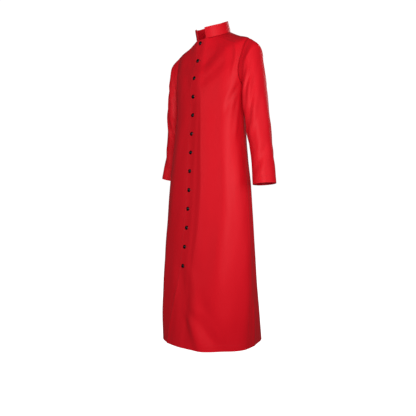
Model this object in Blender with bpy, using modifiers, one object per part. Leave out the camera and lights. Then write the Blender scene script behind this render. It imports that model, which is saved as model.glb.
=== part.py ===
"""A calf-length buttoned cassock, hollow, in the form that it takes when it is worn.

The garment stands as its cut makes it on a general figure: two fronts that lap at the centre, two backs,
two set-in sleeves, a stand collar with a gap at the throat, and a row of domed buttons.
Metres, +Z up. The wearer faces -Y and the wearer's left is +X. The origin is where the garment is held:
midway between the two points where the collar meets the shoulder seams.
"""

from collections import namedtuple

import bpy
import numpy as np
from mathutils import Vector

# Cloth and seams
CLOTH = 0.002
COLLAR_CLOTH = 0.0025
SEAM_GAP = 0.0003
LAY_GAP = 0.0005

# Body sections from the hem to the neckline: height and depth are Z and Y, and the front, the sides and
# the back each have their own Y. The row's height is at its sides, and it falls and rises from there
Section = namedtuple("Section", "height half_width front side back square front_drop back_rise left_rise")
SECTIONS = (
    Section(-1.250, 0.210, -0.190, -0.015, 0.188, 2.15, -0.012, -0.018, 0.016),
    Section(-1.100, 0.219, -0.175, -0.015, 0.142, 2.35, 0.000, 0.000, 0.005),
    Section(-0.960, 0.220, -0.159, -0.015, 0.115, 2.40, 0.000, 0.000, 0.000),
    Section(-0.860, 0.219, -0.147, -0.015, 0.102, 2.40, 0.000, 0.000, 0.000),
    Section(-0.760, 0.215, -0.135, -0.015, 0.089, 2.40, 0.000, 0.000, 0.000),
    Section(-0.610, 0.205, -0.124, -0.015, 0.079, 2.40, 0.000, 0.000, 0.000),
    Section(-0.510, 0.190, -0.118, -0.014, 0.078, 2.40, 0.000, 0.000, 0.000),
    Section(-0.410, 0.179, -0.111, -0.012, 0.079, 2.35, 0.000, 0.000, 0.000),
    Section(-0.310, 0.176, -0.103, -0.006, 0.080, 2.30, 0.000, 0.000, 0.000),
    Section(-0.225, 0.185, -0.100, -0.002, 0.086, 2.30, 0.002, 0.000, 0.000),
    Section(-0.160, 0.196, -0.092, 0.003, 0.088, 2.20, 0.012, 0.002, 0.000),
    Section(-0.100, 0.202, -0.079, 0.007, 0.086, 2.10, 0.028, 0.008, 0.000),
    Section(-0.044, 0.192, -0.070, 0.008, 0.082, 2.05, 0.044, 0.020, 0.000),
    Section(-0.020, 0.128, -0.064, 0.008, 0.080, 2.00, 0.032, 0.026, 0.000),
    Section(0.000, 0.073, -0.060, 0.0075, 0.079, 2.00, 0.022, 0.030, 0.000),
)
UNDERARM_SECTION = 9
SHOULDER_SECTION = 12

# Armhole: how far it cuts into the front and into the back, in degrees round the body
ARMHOLE_FRONT_DEG = 25.0
ARMHOLE_BACK_DEG = 24.0

# Soft folds: where each starts and ends, in degrees, from which height to which, how wide it is, and how far
# it stands out or sinks in. Round the skirt the degrees run from the centre front to the wearer's left, and
# its folds reach the hem. Round a sleeve they run from the inner side to the front, and its folds die away
Fold = namedtuple("Fold", "start_deg end_deg top bottom width_deg out fade")
SKIRT_FOLDS = (
    Fold(2, 34, -0.93, -1.25, 9, 0.0055, 0),
    Fold(14, 58, -0.96, -1.25, 11, -0.0050, 0),
    Fold(88, 84, -0.62, -1.25, 11, 0.0050, 0),
    Fold(112, 116, -0.66, -1.25, 12, -0.0070, 0),
    Fold(140, 146, -0.52, -1.25, 12, 0.0080, 0),
    Fold(170, 172, -0.60, -1.25, 13, -0.0080, 0),
    Fold(-152, -148, -0.48, -1.25, 13, 0.0075, 0),
    Fold(-124, -120, -0.58, -1.25, 12, -0.0065, 0),
    Fold(-98, -92, -0.68, -1.25, 11, 0.0050, 0),
    Fold(-58, -50, -0.86, -1.25, 10, -0.0045, 0),
)
SLEEVE_FOLDS = (
    Fold(112, 80, -0.15, -0.36, 17, -0.0050, 1),
    Fold(78, 52, -0.20, -0.42, 15, 0.0040, 1),
    Fold(250, 285, -0.17, -0.40, 18, -0.0050, 1),
    Fold(300, 320, -0.28, -0.46, 15, 0.0035, 1),
)

# Front lap: the left front lies over the right. Its edge swings away below the last button
LAP = 0.020
LAP_AT_HEM = 0.076
LAP_SWINGS_FROM = -0.930
LAP_SWINGS_TO = -1.350
LAP_SWING_POWER = 0.8
LIFT_FALL = 0.026

# Stand collar
COLLAR_HEIGHT = 0.043
COLLAR_FORWARD = 0.009
COLLAR_TAPER = 0.005
COLLAR_CURVE = 1.3
COLLAR_ROWS = 3
COLLAR_COLUMNS = 34
THROAT_HALF_GAP = 0.025

# Sleeve sections from the sleeve head to the cuff: the centre, the half widths across and front to back,
# and how far the section tips, up at its outer side and down at its inner one
Arm = namedtuple("Arm", "height out back across deep tip")
ARMS = (
    Arm(-0.160, 0.2170, 0.010, 0.027, 0.053, 0.076),
    Arm(-0.275, 0.2300, 0.010, 0.039, 0.058, 0.014),
    Arm(-0.386, 0.2405, 0.016, 0.042, 0.051, 0.000),
    Arm(-0.495, 0.2595, 0.016, 0.042, 0.046, 0.000),
    Arm(-0.603, 0.2775, 0.008, 0.043, 0.046, 0.000),
)
CAP_FULLNESS = 0.8
ARM_FOLLOW = 0.8

# How the sleeve leaves the armhole: its outward and downward share at the underarm and at the shoulder, and
# how much it faces forward at the front of the armhole and backward at its back
LEAVE_UNDERARM = (0.45, 0.85)
LEAVE_SHOULDER = (1.00, 0.15)
LEAVE_FACING = 0.50

# Buttons
BUTTON_COUNT = 13
BUTTON_PITCH = 0.0749
BUTTON_TOP_DROP = 0.0165
BUTTON_RADIUS = 0.0082
BUTTON_HEIGHT = 0.0050
BUTTON_SIDES = 12
BUTTON_RINGS = 5
BUTTON_RIM_SHARE = 0.35
BUTTON_BACK_SHARE = 0.86

# Mesh density
SKIRT_ROWS = 16
ROW_UNDER_ARMHOLE = 0.022
ARMHOLE_ROWS = 12
SHOULDER_ROWS = 4
FRONT_COLUMNS = 8
BACK_COLUMNS = 10
CAP_ROWS = 4
ARM_ROWS = 12
MERGE_WITHIN = 0.00001

# Finishes
RED = (0.50, 0.008, 0.018)
CLOTH_ROUGHNESS = 0.55
BLACK = (0.012, 0.012, 0.014)
BUTTON_ROUGHNESS = 0.25
SHARP_EDGE_DEG = 50


def smooth(knots, values, at):
    """Cubic through the table's values, with slopes limited so that it never overshoots them."""
    knots, values, at = (np.asarray(a, float) for a in (knots, values, at))
    step = np.diff(knots)
    rise = np.diff(values) / step
    slope = np.zeros_like(values)
    same = rise[:-1] * rise[1:] > 0
    slope[1:-1][same] = 2 * rise[:-1][same] * rise[1:][same] / (rise[:-1] + rise[1:])[same]
    slope[0], slope[-1] = rise[0], rise[-1]
    i = np.clip(np.searchsorted(knots, at, side="right") - 1, 0, len(knots) - 2)
    u = (at - knots[i]) / step[i]
    return hermite(values[i], values[i + 1], step[i] * slope[i], step[i] * slope[i + 1], u)


def hermite(start, end, leave, arrive, u):
    """Cubic from start to end, leaving and arriving with the given tangents, at u from 0 to 1."""
    return (
        start * (1 + 2 * u) * (1 - u) ** 2
        + end * u * u * (3 - 2 * u)
        + leave * u * (1 - u) ** 2
        - arrive * u * u * (1 - u)
    )


def ease(low, high, value):
    """0 below low, 1 above high, and a smooth rise between."""
    u = np.clip((value - low) / (high - low), 0, 1)
    return u * u * (3 - 2 * u)


def unit(vectors):
    return vectors / np.maximum(np.linalg.norm(vectors, axis=-1, keepdims=True), 1e-12)


# A station is a length up the side of the garment from the hem
TABLE = np.array(SECTIONS)
STATIONS = np.concatenate([[0], np.cumsum(np.hypot(np.diff(TABLE[:, 0]), np.diff(TABLE[:, 1])))])
UNDERARM = STATIONS[UNDERARM_SECTION]
SHOULDER = STATIONS[SHOULDER_SECTION]
NECK = STATIONS[-1]


def column(name, station):
    return smooth(STATIONS, TABLE[:, Section._fields.index(name)], station)


def fold_out(folds, angle, height):
    """How far folds carry a surface outward: each is a soft ridge or trough across its line, which drifts
    round the piece as it deepens on its way down."""
    total = np.zeros(np.broadcast(angle, height).shape)
    for fold in folds:
        share = np.clip((fold.top - height) / (fold.top - fold.bottom), 0, 1)
        line = np.radians(fold.start_deg + (fold.end_deg - fold.start_deg) * share)
        away = (angle - line + np.pi) % (2 * np.pi) - np.pi
        depth = fold.out * ease(0, 0.6, share) * (1 - fold.fade * ease(0.4, 1, share))
        total += depth * np.exp(-((away / np.radians(fold.width_deg)) ** 2))
    return total


def body(angle, station, lift=0.0):
    """The garment's outer surface. The angle is 0 at the centre front, 90 degrees at the wearer's left side
    and 180 at the centre back, and it is negative on the wearer's right. lift moves a point out from it."""
    angle, station = np.broadcast_arrays(np.asarray(angle, float), np.asarray(station, float))
    sine, cosine = np.sin(angle), np.cos(angle)
    power = column("square", station)
    reach = (np.abs(sine) ** power + np.abs(cosine) ** power) ** (-1 / power)
    front = cosine > 0
    side = column("side", station)
    depth = np.where(front, side - column("front", station), column("back", station) - side)
    slant = np.where(front, column("front_drop", station), column("back_rise", station))
    height = column("height", station) - slant * cosine + column("left_rise", station) * sine
    out = fold_out(SKIRT_FOLDS, angle, height)
    points = np.stack(
        [
            (column("half_width", station) * reach + out) * sine,
            side - (depth * reach + out) * cosine,
            height,
        ],
        axis=-1,
    )
    if np.any(lift):
        points = points + body_normal(angle, station) * np.asarray(lift)[..., None]
    return points


def body_normal(angle, station):
    """Outward unit normal of the body surface, by differences."""
    step = 1e-4
    low, high = np.maximum(station - step, 0), np.minimum(station + step, NECK)
    round_it = body(angle + step, station) - body(angle - step, station)
    up_it = body(angle, high) - body(angle, low)
    return unit(np.cross(round_it, up_it))


def angle_at(distance, station):
    """The angle at which the front is this far from the centre line."""
    return np.arctan(distance / column("half_width", station))


def lap_edge(station):
    """How far the left front's edge lies past the centre line."""
    height = column("height", station)
    swing = ease(LAP_SWINGS_FROM, LAP_SWINGS_TO, height) ** LAP_SWING_POWER
    return LAP + (LAP_AT_HEM - LAP) * swing


def lap_lift(distance):
    """How far the left front stands off to clear the right front under it."""
    return (CLOTH + LAY_GAP) * (1 - ease(LAP, LAP + LIFT_FALL, distance))


def panel_rows():
    """Stations of the rows: even up the skirt, closer at both ends of the armhole, even on the shoulder."""
    skirt = np.linspace(0, UNDERARM - ROW_UNDER_ARMHOLE, SKIRT_ROWS)
    top = np.linspace(SHOULDER, NECK, SHOULDER_ROWS + 1)[1:]
    return np.concatenate([skirt, armhole_rows(), top])


def armhole_rows():
    turn = np.linspace(0, np.pi, ARMHOLE_ROWS + 1)
    return UNDERARM + (SHOULDER - UNDERARM) * (1 - np.cos(turn)) / 2


def armhole_rise(station):
    """0 at the underarm and 1 at the shoulder point."""
    return (station - UNDERARM) / (SHOULDER - UNDERARM)


def armhole_bite(station):
    """0 at both ends of the armhole and 1 half way up it, as a half circle."""
    return np.sqrt(np.clip(1 - (2 * armhole_rise(station) - 1) ** 2, 0, None))


def front_edge_angle(station):
    return np.radians(90 - ARMHOLE_FRONT_DEG * armhole_bite(station))


def back_edge_angle(station):
    return np.radians(90 + ARMHOLE_BACK_DEG * armhole_bite(station))


def clear_scene():
    for obj in list(bpy.data.objects):
        bpy.data.objects.remove(obj, do_unlink=True)


def material(name, colour, roughness):
    made = bpy.data.materials.new(name)
    made.use_nodes = True
    shader = made.node_tree.nodes["Principled BSDF"]
    shader.inputs["Base Color"].default_value = (*colour, 1)
    shader.inputs["Roughness"].default_value = roughness
    return made


def add_object(name, mesh, collection):
    obj = bpy.data.objects.new(name, mesh)
    collection.objects.link(obj)
    return obj


def cloth_wall(name, outer, normal, thickness, collection, closed=False):
    """A wall of cloth behind a grid of outer points, whose rows run up the piece and whose columns run
    toward the wearer's left side of the front. closed joins the last column to the first, as on a tube."""
    inner = outer - normal * thickness
    row_count, column_count = outer.shape[:2]
    size = row_count * column_count
    number = np.arange(size).reshape(row_count, column_count)
    if closed:
        number = np.concatenate([number, number[:, :1]], axis=1)
    quads = np.stack([number[:-1, :-1], number[:-1, 1:], number[1:, 1:], number[1:, :-1]], axis=-1)
    quads = quads.reshape(-1, 4)
    faces = [quads, quads[:, ::-1] + size]
    borders = [number[0, :], number[-1, ::-1]]
    if not closed:
        borders += [number[::-1, 0], number[:, -1]]
    for border in borders:
        faces.append(np.stack([border[1:], border[:-1], border[:-1] + size, border[1:] + size], axis=-1))
    mesh = bpy.data.meshes.new(name)
    points = np.concatenate([outer.reshape(-1, 3), inner.reshape(-1, 3)])
    mesh.from_pydata(points.tolist(), [], np.concatenate(faces).tolist())
    mesh.shade_smooth()
    mesh.set_sharp_from_angle(angle=np.radians(SHARP_EDGE_DEG))
    mesh.materials.append(material(name + "_cloth", RED, CLOTH_ROUGHNESS))
    return add_object(name, mesh, collection)


def trimmed(grid, *edges):
    """The grid with its borders moved in along the surface by half a seam's gap."""
    grid = grid.copy()
    for border, inward in edges:
        grid[border] = grid[border] + unit(grid[inward] - grid[border]) * SEAM_GAP / 2
    return grid


# Each border of a grid, with the line of points next to it
FIRST_COLUMN = (np.s_[:, 0], np.s_[:, 1])
LAST_COLUMN = (np.s_[:, -1], np.s_[:, -2])
TOP_ROW = (np.s_[-1, :], np.s_[-2, :])


def front_panel(name, side, collection):
    """One front, from its edge past the centre line to the side seam, armhole and shoulder seam. side is 1
    on the wearer's left, whose front is lifted where it laps over the other. Returns its centre line."""
    station = panel_rows()
    edge, centre, lap = lap_edge(station), 0 * station, 0 * station + LAP
    if side > 0:
        distances = [centre, -edge, -edge / 2, lap, lap + LIFT_FALL / 2, lap + LIFT_FALL]
    else:
        distances = [centre, -lap, edge / 2, edge]
    distances.sort(key=np.mean)
    near = [angle_at(distance, station) for distance in distances]
    far = front_edge_angle(station)
    rest = [near[-1] + (far - near[-1]) * k / FRONT_COLUMNS for k in range(1, FRONT_COLUMNS + 1)]
    angle = side * np.stack(near + rest, axis=1)
    station = np.broadcast_to(station[:, None], angle.shape)
    distance = np.tan(angle) * column("half_width", station)
    lift = lap_lift(distance) if side > 0 else 0 * distance
    outer = trimmed(body(angle, station, lift), LAST_COLUMN, TOP_ROW)
    normal = body_normal(angle, station)
    cloth_wall(name, outer[:, ::side], normal[:, ::side], CLOTH, collection)
    centre_column = np.abs(angle[0]).argmin()
    return outer[:, centre_column]


def back_panel(name, side, collection):
    """One half of the back, from its side seam, armhole and shoulder seam to the seam at the centre back."""
    station = panel_rows()
    edge = back_edge_angle(station)[:, None]
    angle = side * (edge + (np.pi - edge) * np.linspace(0, 1, BACK_COLUMNS + 1))
    station = np.broadcast_to(station[:, None], angle.shape)
    outer = trimmed(body(angle, station), FIRST_COLUMN, LAST_COLUMN, TOP_ROW)
    normal = body_normal(angle, station)
    cloth_wall(name, outer[:, ::side], normal[:, ::side], CLOTH, collection)


def armhole_ring(side):
    """Points round the armhole, from the underarm up the front and down the back, with the way that the
    sleeve leaves each: mostly down at the underarm, mostly outward at the shoulder."""
    station = armhole_rows()
    front = body(side * front_edge_angle(station), station)
    back = body(side * back_edge_angle(station), station)
    points = np.concatenate([front, back[-2:0:-1]])
    rise = armhole_rise(np.concatenate([station, station[-2:0:-1]]))
    facing = np.concatenate([-armhole_bite(station), armhole_bite(station[-2:0:-1])])
    outward, downward = (low + (high - low) * rise for low, high in zip(LEAVE_UNDERARM, LEAVE_SHOULDER))
    leave = np.stack([side * outward, LEAVE_FACING * facing, -downward], axis=-1)
    inward = unit(points.mean(axis=0) - points)
    return points + inward * SEAM_GAP, unit(leave)


def sleeve(name, side, collection):
    """A set-in sleeve: the cap leaves the armhole outward and turns down into the arm, which is a stack of
    ovals about a slightly bent line."""
    ring, leave = armhole_ring(side)
    clock = 2 * np.pi * np.arange(len(ring)) / len(ring)
    arm = np.array(ARMS)
    fall = np.linspace(-arm[0, 0], -arm[-1, 0], ARM_ROWS + 1)
    out, back, across, deep, tip = (smooth(-arm[:, 0], arm[:, k], fall) for k in range(1, 6))
    centre = np.stack([side * out, back, -fall], axis=-1)
    along = unit(np.gradient(centre, axis=0))
    sideways = unit(np.array([side, 0, 0]) - along * along[:, :1] * side)
    forward = np.cross(along, sideways) * side
    arms = (
        centre[:, None]
        - sideways[:, None] * (across[:, None] * np.cos(clock))[..., None]
        + forward[:, None] * (deep[:, None] * np.sin(clock))[..., None]
        - np.array([0, 0, 1]) * (tip[:, None] * np.cos(clock))[..., None]
    )
    arms += unit(arms - centre[:, None]) * fold_out(SLEEVE_FOLDS, clock, arms[..., 2])[..., None]
    gap = np.linalg.norm(arms[0] - ring, axis=1)[:, None]
    follow = unit(arms[1] - arms[0])
    u = np.linspace(0, 1, CAP_ROWS + 1)[:-1, None, None]
    cap = hermite(ring, arms[0], leave * gap * CAP_FULLNESS, follow * gap * ARM_FOLLOW, u)
    outer = np.concatenate([cap, arms])
    round_it = np.roll(outer, -1, 1) - np.roll(outer, 1, 1)
    normal = unit(np.cross(np.gradient(outer, axis=0), round_it)) * side
    outer, normal = outer[::-1, ::side], normal[::-1, ::side]
    cloth_wall(name, outer, normal, CLOTH, collection, closed=True)


def collar(name, collection):
    """A stiff standing band on the neckline, from one side of the throat gap round the back to the other.
    It leans forward a little, and closes in at the back."""
    start = angle_at(THROAT_HALF_GAP, NECK)
    angle = np.linspace(start, 2 * np.pi - start, COLLAR_COLUMNS + 1)
    foot = body(angle, np.full_like(angle, NECK))
    middle = np.array([0, SECTIONS[-1].side, 0])
    level = (foot - middle) * [1, 1, 0]
    rise = np.linspace(0, 1, COLLAR_ROWS + 1)[:, None, None]
    up = np.array([0, 0, 1])
    behind = (1 - np.cos(angle))[:, None] / 2
    lean = np.array([0, -COLLAR_FORWARD, 0]) - unit(level) * COLLAR_TAPER * behind
    outer = foot + up * (SEAM_GAP + rise * COLLAR_HEIGHT) + lean * rise**COLLAR_CURVE
    normal = unit(np.cross(np.gradient(outer, axis=1), np.gradient(outer, axis=0)))
    cloth_wall(name, outer, normal, COLLAR_CLOTH, collection)


def button_profile():
    """Half of a button's outline, turned about Z: a low dome over a rounded rim and a flat back."""
    rim = BUTTON_HEIGHT * BUTTON_RIM_SHARE
    turn = np.linspace(np.pi / 2, 0, BUTTON_RINGS)
    height = rim + (BUTTON_HEIGHT - rim) * np.sin(turn)
    dome = np.stack([BUTTON_RADIUS * np.cos(turn), 0 * turn, height], axis=-1)
    back = [[BUTTON_RADIUS * BUTTON_BACK_SHARE, 0, 0], [0, 0, 0]]
    mesh = bpy.data.meshes.new("button_outline")
    points = dome.tolist() + back
    points[0][0] = 0.0
    mesh.from_pydata(points, [[k, k + 1] for k in range(len(points) - 1)], [])
    mesh.materials.append(material("button_black", BLACK, BUTTON_ROUGHNESS))
    return mesh


def buttons(centre_line, collection):
    """The row of buttons down the left front's centre line, evenly spaced along the cloth."""
    line = centre_line[::-1]
    run = np.concatenate([[0], np.cumsum(np.linalg.norm(np.diff(line, axis=0), axis=1))])
    profile = button_profile()
    for k in range(BUTTON_COUNT):
        at = BUTTON_TOP_DROP + k * BUTTON_PITCH
        place = np.array([np.interp(at, run, line[:, axis]) for axis in range(3)])
        ahead = np.array([np.interp(at + BUTTON_RADIUS, run, line[:, axis]) for axis in range(3)])
        facing = unit(np.cross(ahead - place, [1, 0, 0]))
        obj = add_object(f"button_{k + 1:02d}", profile, collection)
        obj.location = Vector(place + facing * SEAM_GAP)
        obj.rotation_euler = Vector(facing).to_track_quat("Z", "Y").to_euler()
        turned = obj.modifiers.new("turned", "SCREW")
        turned.steps = turned.render_steps = BUTTON_SIDES
        turned.use_merge_vertices = True
        turned.merge_threshold = MERGE_WITHIN


def main():
    clear_scene()
    garment = bpy.data.collections.new("cassock")
    bpy.context.scene.collection.children.link(garment)
    centre_line = front_panel("front_left", 1, garment)
    front_panel("front_right", -1, garment)
    back_panel("back_left", 1, garment)
    back_panel("back_right", -1, garment)
    sleeve("sleeve_left", 1, garment)
    sleeve("sleeve_right", -1, garment)
    collar("collar", garment)
    buttons(centre_line, garment)


main()
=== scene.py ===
"""A red cassock in the form that it has when it is worn: panels, sleeves, collar, stitching and buttons."""

from collections import namedtuple

import bpy
import numpy as np
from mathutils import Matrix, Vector


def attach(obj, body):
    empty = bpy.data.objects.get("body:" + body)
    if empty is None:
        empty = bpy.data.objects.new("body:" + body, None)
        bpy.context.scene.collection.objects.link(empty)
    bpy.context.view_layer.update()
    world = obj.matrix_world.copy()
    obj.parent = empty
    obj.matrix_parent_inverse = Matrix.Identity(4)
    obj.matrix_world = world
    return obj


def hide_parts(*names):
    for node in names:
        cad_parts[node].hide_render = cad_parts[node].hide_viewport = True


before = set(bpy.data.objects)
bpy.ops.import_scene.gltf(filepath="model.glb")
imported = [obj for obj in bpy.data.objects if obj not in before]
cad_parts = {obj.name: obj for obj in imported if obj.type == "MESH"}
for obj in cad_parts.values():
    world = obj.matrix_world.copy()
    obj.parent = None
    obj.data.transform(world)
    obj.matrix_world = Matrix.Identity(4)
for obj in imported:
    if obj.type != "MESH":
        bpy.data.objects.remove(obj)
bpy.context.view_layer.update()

# Floor, light and camera
# A pale studio floor that rises into a wall all round. One large soft lamp hangs just above the camera,
# with weaker ones at the side, in front and behind. The camera is level with the middle of the garment,
# well round to the wearer's left.
FLOOR = -1.53
STUDIO_RADIUS = 5.5
STUDIO_COVE = 2.0
STUDIO_WALL = 4.0
STUDIO_HUB = 0.0005
STUDIO_GRID = (97, 90)
STUDIO_WHITE = (0.86, 0.86, 0.87)
STUDIO_PALE = (0.90, 0.90, 0.90)
STUDIO_CLOUDS = 1.7
STUDIO_GLOW = 1.00
CAMERA_TURN_DEG = 47.0
CAMERA_DISTANCE = 1.95
CAMERA_HEIGHT = -0.525
CAMERA_ASIDE = -0.0167
LENS_MM = 40.5
HORIZON_SHIFT = -45 / 416
Light = namedtuple("Light", "name turn_deg away height aim size watts")
LIGHTS = (
    Light("key", 49, 2.15, -0.16, -0.22, 1.0, 39),
    Light("side", 93, 2.7, -0.05, -0.45, 1.3, 19),
    Light("front", -15, 2.9, 0.00, -0.45, 1.4, 20),
    Light("back", 192, 3.0, 0.90, -0.50, 1.6, 26),
)
AMBIENT = (1.0, 0.99, 0.98)
AMBIENT_STRENGTH = 0.09


class Wire:
    """One output of a node in a material. Sums, differences and products of wires, or of wires and numbers,
    add Math nodes."""

    def __init__(self, tree, socket=None):
        self.tree = tree
        self.socket = socket

    def node(self, kind, settings, values, output=0):
        """Adds a node: its settings are set first, then each socket gets its value or its wire."""
        made = self.tree.nodes.new("ShaderNode" + kind)
        for key, value in settings.items():
            setattr(made, key, value)
        for key, value in values.items():
            if isinstance(value, Wire):
                self.tree.links.new(value.socket, made.inputs[key])
            else:
                made.inputs[key].default_value = value
        return Wire(self.tree, made.outputs[output])

    def math(self, operation, *values):
        return self.node("Math", {"operation": operation}, dict(enumerate(values)))

    def mix(self, share, low, high):
        """From the low colour to the high one as share goes from 0 to 1."""
        return self.node("Mix", {"data_type": "RGBA"}, {0: share, 6: low, 7: high}, 2)

    def noise(self, scale, detail=2.0):
        """Cloudy noise from 0 to 1, with this wire as its place."""
        return self.node("TexNoise", {}, {"Vector": self, "Scale": scale, "Detail": detail}, "Fac")

    def stretched(self, x, y, z=1.0):
        return self.node("VectorMath", {"operation": "MULTIPLY"}, {0: self, 1: (x, y, z)})

    def __add__(self, other):
        return self.math("ADD", self, other)

    def __radd__(self, other):
        return self.math("ADD", other, self)

    def __sub__(self, other):
        return self.math("SUBTRACT", self, other)

    def __rsub__(self, other):
        return self.math("SUBTRACT", other, self)

    def __mul__(self, other):
        return self.math("MULTIPLY", self, other)

    def __rmul__(self, other):
        return self.math("MULTIPLY", other, self)


def finish(name, shader_values):
    """A new Principled material with these values on the shader's own sockets, and a wire in its tree."""
    made = bpy.data.materials.new(name)
    made.use_nodes = True
    shader = made.node_tree.nodes["Principled BSDF"]
    for key, value in shader_values.items():
        shader.inputs[key].default_value = value
    return made, Wire(made.node_tree)


def feed(made, **wires):
    """Joins wires to the sockets of a material's Principled shader."""
    shader = made.node_tree.nodes["Principled BSDF"]
    for key, wire in wires.items():
        made.node_tree.links.new(wire.socket, shader.inputs[key.replace("_", " ")])


def mesh_object(name, points, faces, material):
    """A smooth mesh from an array of points and one of faces."""
    mesh = bpy.data.meshes.new(name)
    mesh.from_pydata(points.tolist(), [], faces.tolist())
    mesh.shade_smooth()
    mesh.materials.append(material)
    made = bpy.data.objects.new(name, mesh)
    bpy.context.scene.collection.objects.link(made)
    return made


def grid_faces(rows, columns):
    """The quads of a grid of points, numbered along its rows."""
    number = np.arange(rows * columns).reshape(rows, columns)
    quads = [number[:-1, :-1], number[:-1, 1:], number[1:, 1:], number[1:, :-1]]
    return np.stack(quads, axis=-1).reshape(-1, 4)


def studio():
    """Floor and wall in one surface of revolution. Along its profile the radius grows over the floor, a
    quarter circle turns it up, and the height grows on the wall."""
    sides, rows = STUDIO_GRID
    floor_run = STUDIO_RADIUS - STUDIO_COVE
    cove_run = STUDIO_COVE * np.pi / 2
    run = np.linspace(STUDIO_HUB, floor_run + cove_run + STUDIO_WALL, rows)
    turn = np.clip((run - floor_run) / STUDIO_COVE, 0, np.pi / 2)
    radius = np.minimum(run, floor_run) + STUDIO_COVE * np.sin(turn)
    wall = np.maximum(run - floor_run - cove_run, 0)
    height = FLOOR + STUDIO_COVE * (1 - np.cos(turn)) + wall
    round_it = np.linspace(0, 2 * np.pi, sides)[:, None]
    x, y = radius * np.cos(round_it), radius * np.sin(round_it)
    points = np.stack([x, y, height + 0 * round_it], axis=-1)
    made, wire = finish("studio_white", {"Roughness": 0.9, "Emission Strength": STUDIO_GLOW})
    place = wire.node("TexCoord", {}, {}, "Object")
    white = wire.mix(place.noise(STUDIO_CLOUDS), (*STUDIO_WHITE, 1), (*STUDIO_PALE, 1))
    feed(made, Base_Color=white, Emission_Color=white)
    backdrop = mesh_object("studio", points.reshape(-1, 3), grid_faces(sides, rows)[:, ::-1], made)
    backdrop.visible_diffuse = False
    backdrop.visible_glossy = False


def around(turn_deg, away, height):
    """A place at this distance from the garment's axis, turned from straight ahead to the wearer's left."""
    turn = np.radians(turn_deg)
    return Vector((away * np.sin(turn), -away * np.cos(turn), height))


def lights():
    """A round soft lamp for each row of LIGHTS, turned to the garment's axis, and a faint even light."""
    for row in LIGHTS:
        lamp = bpy.data.lights.new(row.name, "AREA")
        lamp.shape = "DISK"
        lamp.size = row.size
        lamp.energy = row.watts
        made = bpy.data.objects.new(row.name, lamp)
        made.location = around(row.turn_deg, row.away, row.height)
        made.rotation_euler = (made.location - Vector((0, 0, row.aim))).to_track_quat("Z", "Y").to_euler()
        bpy.context.scene.collection.objects.link(made)
    world = bpy.data.worlds.new("ambient")
    world.use_nodes = True
    background = world.node_tree.nodes["Background"].inputs
    background["Color"].default_value = (*AMBIENT, 1)
    background["Strength"].default_value = AMBIENT_STRENGTH
    bpy.context.scene.world = world
    bpy.context.scene.view_settings.view_transform = "Standard"


def camera():
    """The camera, level and aimed past the garment's axis, with its frame shifted down."""
    lens = bpy.data.cameras.new("camera")
    lens.lens = LENS_MM
    lens.shift_y = HORIZON_SHIFT
    made = bpy.data.objects.new("camera", lens)
    aside = around(CAMERA_TURN_DEG + 90, CAMERA_ASIDE, 0)
    back = around(CAMERA_TURN_DEG, CAMERA_DISTANCE, 0)
    made.location = back + aside + Vector((0, 0, CAMERA_HEIGHT))
    made.rotation_euler = back.to_track_quat("Z", "Y").to_euler()
    bpy.context.scene.collection.objects.link(made)
    bpy.context.scene.camera = made


studio()
lights()
camera()

# Cloth
# A closely woven polyester with a satin face, piece-dyed red. All the panels, the sleeves and the collar
# are cut from it, and its weave runs along each piece, so it is drawn on the piece's own flat cut.
CLOTH_LIT = (0.64, 0.0065, 0.0160)
CLOTH_DEEP = (0.54, 0.0035, 0.0095)
# Painted shade for the seams
SEAM_SHADE = (0.22, 0.0015, 0.0040)
# Painted highlight for the folded edges
EDGE_HIGHLIGHT = (0.70, 0.0180, 0.0270)
SEAM_STRENGTH = 0.18
EDGE_HIGHLIGHT_STRENGTH = 0.45
CLOTH_ROUGHNESS = 0.50
ROUGHNESS_SPREAD = 0.12
SATIN_LEVEL = 0.22
SATIN_TINT = (1.0, 0.42, 0.44)
TWILL_PITCH = 0.0011
TWILL_RISE = 0.000013
THREADS_PER_M = (1500, 40)
THREAD_RISE = 0.000030
RUMPLE_SCALE = 34.0
RUMPLE_RISE = 0.00035
CLOUD_SCALE = 6.0


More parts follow.
